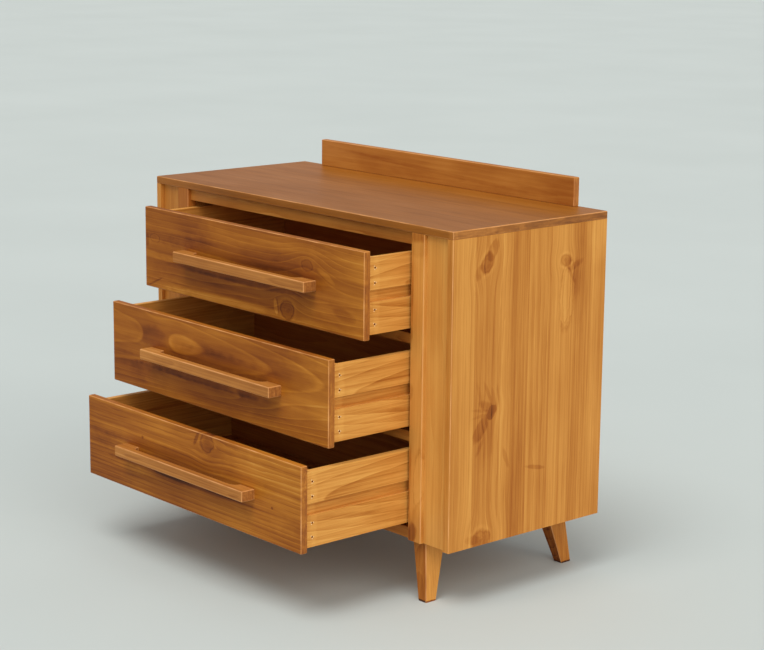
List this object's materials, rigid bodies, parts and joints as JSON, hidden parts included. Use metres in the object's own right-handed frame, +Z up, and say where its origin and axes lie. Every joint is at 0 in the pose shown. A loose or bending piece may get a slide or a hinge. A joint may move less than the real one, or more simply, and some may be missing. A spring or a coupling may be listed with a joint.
{
  "type": "commode chest",
  "caption": "Free-standing pine commode chest with full-width drawers on batten runners, scooped bar handles, splayed tapered legs and a low rear upstand.",
  "frame": {"origin": "on the floor under the middle of the bounding box of the chest as pictured, its drawers standing open", "axes": "+Z up, +X along the width to the right as seen from the front, -Y out of the front, the way the drawers open"},
  "size_m": [1.05, 0.7886, 0.884],
  "materials": {
    "panel_pine": "honey-stained pine of edge-glued upright staves, satin lacquer",
    "top_pine": "honey-stained pine, satin lacquer with a soft sheen",
    "frame_pine": "honey-stained pine, satin lacquer",
    "front_pine": "darker honey-stained pine with level cathedral grain, satin lacquer",
    "handle_pine": "honey-stained pine bar with eased edges, satin lacquer",
    "drawer_pine": "lightly stained pine, satin lacquer",
    "runner_beech": "planed hardwood, waxed",
    "plywood": "thin plywood, clear sealed",
    "leg_pine": "honey-stained pine, satin lacquer",
    "zinc_steel": "zinc-plated steel"
  },
  "bodies": {
    "case": {"top_panel": "top_pine", "back_upstand": "frame_pine", "back_panel": "plywood", "bottom_panel": "panel_pine", "rear_rail": "frame_pine", "top_rail": "frame_pine", "divider_rail_upper": "frame_pine", "divider_rail_lower": "frame_pine", "bottom_rail": "frame_pine", "side_panel_left": "panel_pine", "inner_partition_left": "panel_pine", "front_stile_left": "frame_pine", "corner_strip_left": "frame_pine", "runner_bottom_left": "runner_beech", "runner_middle_left": "runner_beech", "runner_top_left": "runner_beech", "side_panel_right": "panel_pine", "inner_partition_right": "panel_pine", "front_stile_right": "frame_pine", "corner_strip_right": "frame_pine", "runner_bottom_right": "runner_beech", "runner_middle_right": "runner_beech", "runner_top_right": "runner_beech", "leg_front_left": "leg_pine", "leg_bolt_front_left": "zinc_steel", "leg_front_right": "leg_pine", "leg_bolt_front_right": "zinc_steel", "leg_rear_left": "leg_pine", "leg_bolt_rear_left": "zinc_steel", "leg_rear_right": "leg_pine", "leg_bolt_rear_right": "zinc_steel"},
    "drawer_bottom": {"drawer_bottom_front": "front_pine", "drawer_bottom_inner_front": "drawer_pine", "drawer_bottom_back": "drawer_pine", "drawer_bottom_side_left": "drawer_pine", "drawer_bottom_side_right": "drawer_pine", "drawer_bottom_base": "plywood", "drawer_bottom_handle": "handle_pine", "drawer_bottom_screw_left": "zinc_steel", "drawer_bottom_screw_right": "zinc_steel"},
    "drawer_middle": {"drawer_middle_front": "front_pine", "drawer_middle_inner_front": "drawer_pine", "drawer_middle_back": "drawer_pine", "drawer_middle_side_left": "drawer_pine", "drawer_middle_side_right": "drawer_pine", "drawer_middle_base": "plywood", "drawer_middle_handle": "handle_pine", "drawer_middle_screw_left": "zinc_steel", "drawer_middle_screw_right": "zinc_steel"},
    "drawer_top": {"drawer_top_front": "front_pine", "drawer_top_inner_front": "drawer_pine", "drawer_top_back": "drawer_pine", "drawer_top_side_left": "drawer_pine", "drawer_top_side_right": "drawer_pine", "drawer_top_base": "plywood", "drawer_top_handle": "handle_pine", "drawer_top_screw_left": "zinc_steel", "drawer_top_screw_right": "zinc_steel"}
  },
  "joints": [
    {"name": "drawer_bottom_slide", "type": "slide", "parent": "case", "child": "drawer_bottom", "axis": [0, -1, 0], "range_m": [-0.292, 0.028]},
    {"name": "drawer_middle_slide", "type": "slide", "parent": "case", "child": "drawer_middle", "axis": [0, -1, 0], "range_m": [-0.22, 0.1]},
    {"name": "drawer_top_slide", "type": "slide", "parent": "case", "child": "drawer_top", "axis": [0, -1, 0], "range_m": [-0.126, 0.194]}
  ]
}
